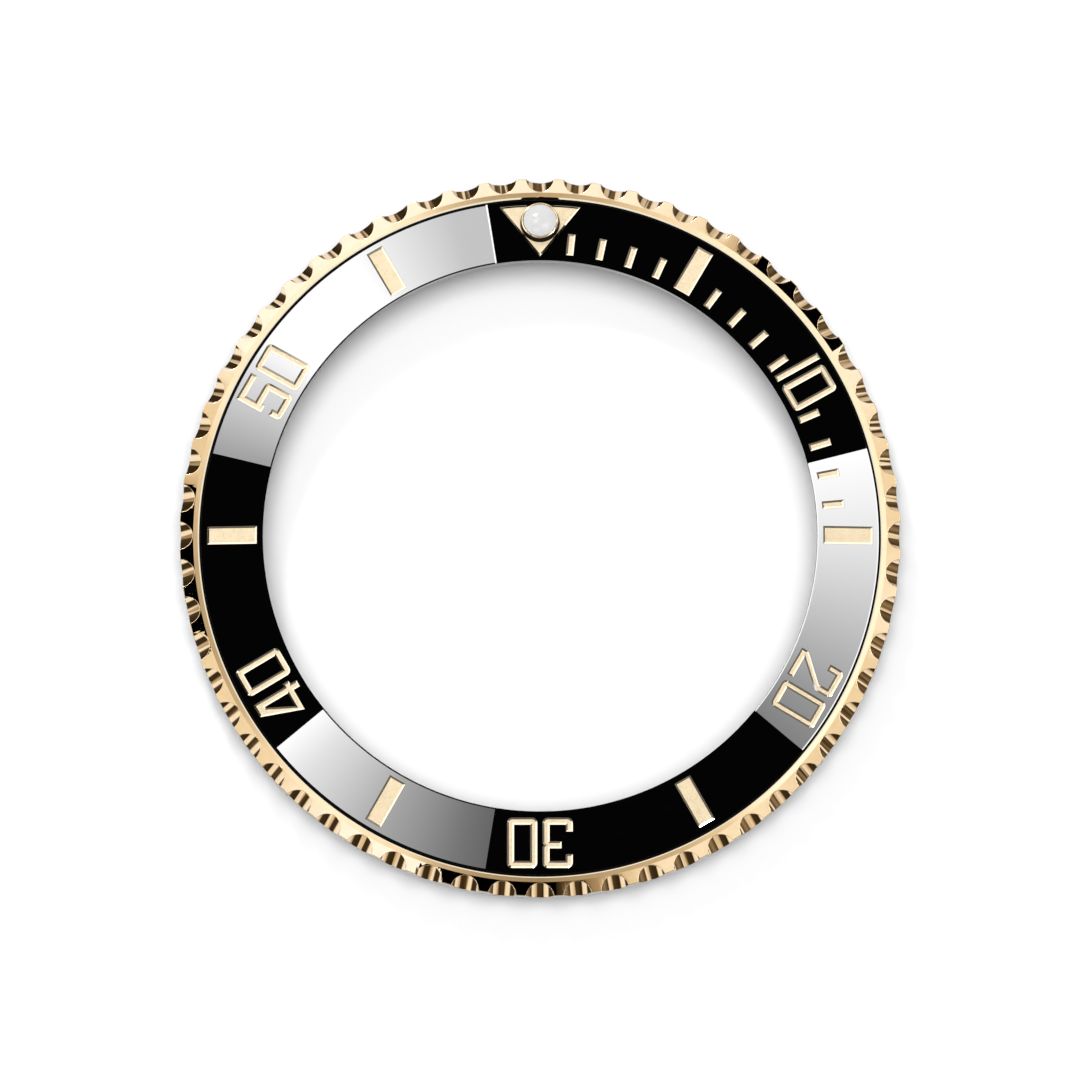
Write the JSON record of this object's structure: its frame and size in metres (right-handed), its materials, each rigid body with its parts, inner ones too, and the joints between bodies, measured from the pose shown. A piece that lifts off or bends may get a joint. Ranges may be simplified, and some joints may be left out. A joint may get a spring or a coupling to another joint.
{
  "type": "rotating watch bezel",
  "caption": "One-way rotating watch bezel: fluted gold-coloured ring with a black minute-scale insert, on a seat ring with a sprung click pawl and detent balls.",
  "frame": {"origin": "on the turning axis, in the plane of the seat ring's underside, which rests on the watch case", "axes": "+Z along the turning axis, up towards the wearer; +Y towards 12 o'clock (the triangle and the pearl); +X towards 3 o'clock (the 15-minute bar)"},
  "size_m": [0.04, 0.04, 0.0043],
  "materials": {
    "gold": "polished",
    "gold_fill": "sand-blasted",
    "ceramic": "polished ceramic",
    "lume": "matt luminous filling",
    "dome": "clear, polished",
    "steel": "turned, fine brushed",
    "spring_steel": "drawn and tempered",
    "rubber": "matt",
    "cushion": "matt"
  },
  "bodies": {
    "seat": {"seat_ring": "steel", "friction_ring": "rubber", "pawl_spring": "spring_steel", "ball_spring_1": "spring_steel", "ball_spring_2": "spring_steel", "ball_spring_3": "spring_steel"},
    "bezel": {"retaining_wire": "spring_steel", "bezel_ring": "gold", "ratchet_ring": "steel", "insert_cushion": "cushion", "insert": "ceramic", "triangle_inlay": "gold_fill", "pearl_capsule": "gold", "pearl_pellet": "lume", "pearl_dome": "dome", "numeral_inlay_10": "gold_fill", "numeral_inlay_20": "gold_fill", "numeral_inlay_30": "gold_fill", "numeral_inlay_40": "gold_fill", "numeral_inlay_50": "gold_fill", "bar_inlay_5": "gold_fill", "bar_inlay_15": "gold_fill", "bar_inlay_25": "gold_fill", "bar_inlay_35": "gold_fill", "bar_inlay_45": "gold_fill", "bar_inlay_55": "gold_fill", "tick_inlay_1": "gold_fill", "tick_inlay_2": "gold_fill", "tick_inlay_3": "gold_fill", "tick_inlay_4": "gold_fill", "tick_inlay_6": "gold_fill", "tick_inlay_7": "gold_fill", "tick_inlay_8": "gold_fill", "tick_inlay_9": "gold_fill", "tick_inlay_11": "gold_fill", "tick_inlay_12": "gold_fill", "tick_inlay_13": "gold_fill", "tick_inlay_14": "gold_fill"},
    "pawl": {"click_pawl": "spring_steel"},
    "ball_1": {"detent_ball_1": "spring_steel"},
    "ball_2": {"detent_ball_2": "spring_steel"},
    "ball_3": {"detent_ball_3": "spring_steel"}
  },
  "joints": [
    {"name": "bezel_rotation", "type": "hinge", "parent": "seat", "child": "bezel", "pos_m": [0, 0, 0.0022], "axis": [0, 0, 1], "continuous": true},
    {"name": "pawl_travel", "type": "slide", "parent": "seat", "child": "pawl", "axis": [0, 0, 1], "range_m": [-0.00026, 0], "stiffness_N_per_m": 400, "springref_m": 0.00015, "deforming": ["pawl_spring"]},
    {"name": "ball_1_travel", "type": "slide", "parent": "seat", "child": "ball_1", "axis": [0, 0, 1], "range_m": [-0.00015, 0], "stiffness_N_per_m": 400, "springref_m": 0.00015, "deforming": ["ball_spring_1"]},
    {"name": "ball_2_travel", "type": "slide", "parent": "seat", "child": "ball_2", "axis": [0, 0, 1], "range_m": [-0.00015, 0], "stiffness_N_per_m": 400, "springref_m": 0.00015, "deforming": ["ball_spring_2"]},
    {"name": "ball_3_travel", "type": "slide", "parent": "seat", "child": "ball_3", "axis": [0, 0, 1], "range_m": [-0.00015, 0], "stiffness_N_per_m": 400, "springref_m": 0.00015, "deforming": ["ball_spring_3"]}
  ]
}
